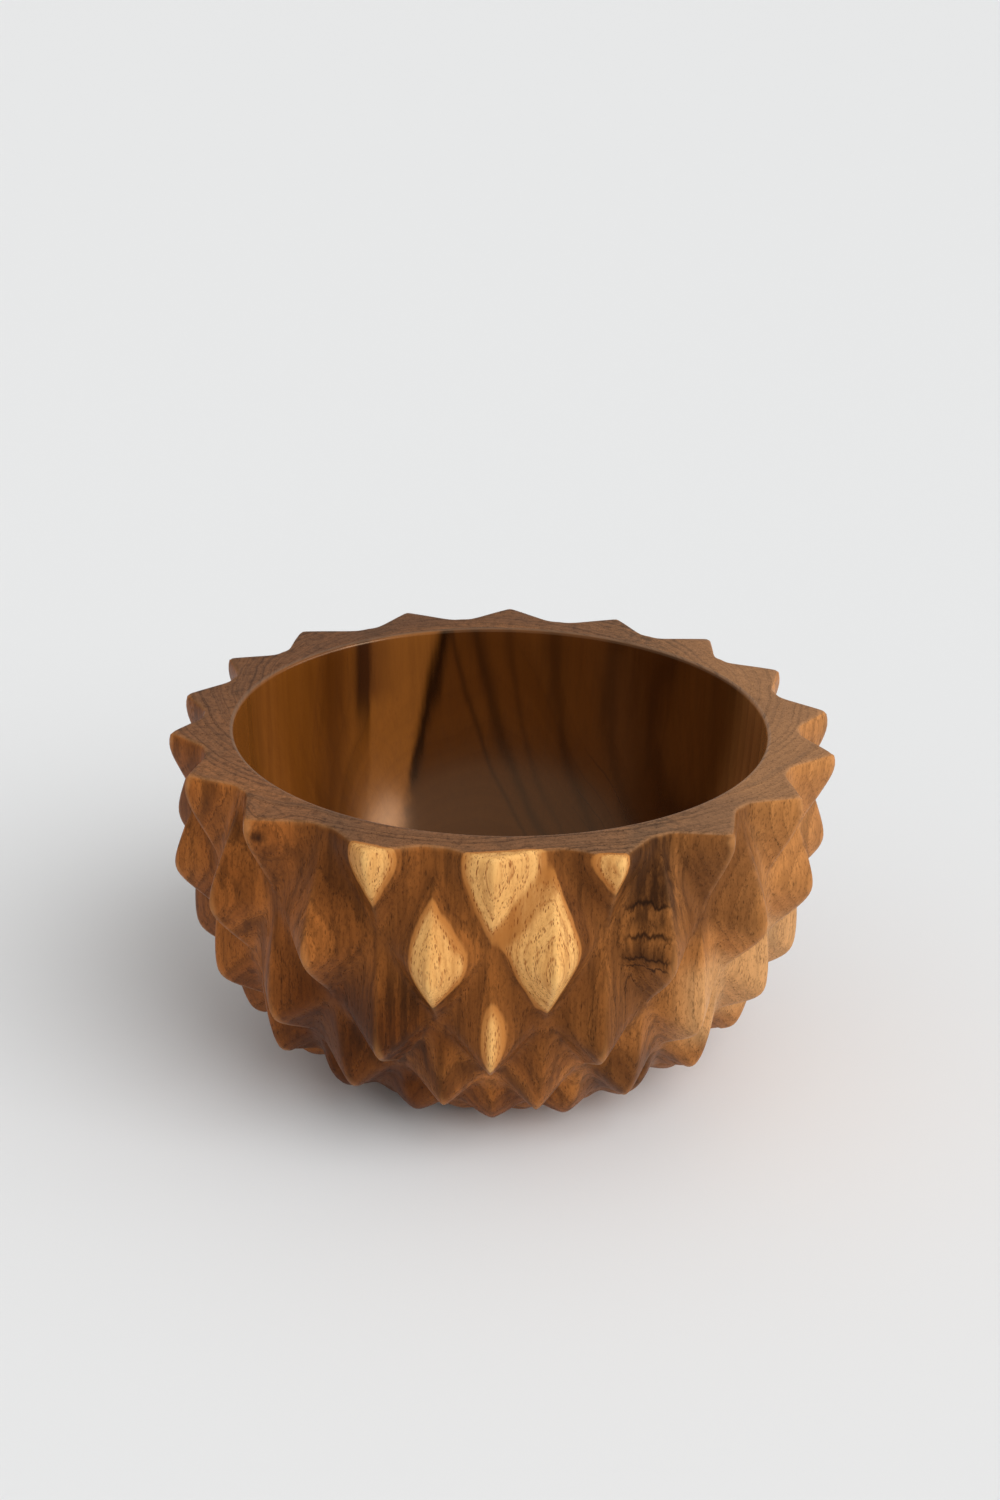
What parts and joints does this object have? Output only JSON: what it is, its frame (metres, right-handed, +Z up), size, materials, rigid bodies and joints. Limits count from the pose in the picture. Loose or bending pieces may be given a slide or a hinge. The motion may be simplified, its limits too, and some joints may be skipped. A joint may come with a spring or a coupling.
{
  "type": "bowl",
  "caption": "Deep round bowl carved from one block of brown wood, with a smooth hollow, a flat rim and an outside cut into rows of pointed pine-cone scales.",
  "frame": {"origin": "centre of the flat foot, on the surface the bowl stands on", "axes": "+Z up the bowl's turning axis towards the opening, a column of scales and the pale sapwood facing -Y"},
  "size_m": [0.225, 0.2262, 0.122],
  "materials": {
    "oiled_wood": "oiled and waxed, satin outside and on the rim, smoother and glossier in the hollow; brown heartwood with dark growth rings and pores, pale sapwood on the outermost scales at the front"
  },
  "bodies": {
    "root": {"bowl": "oiled_wood"}
  },
  "joints": []
}
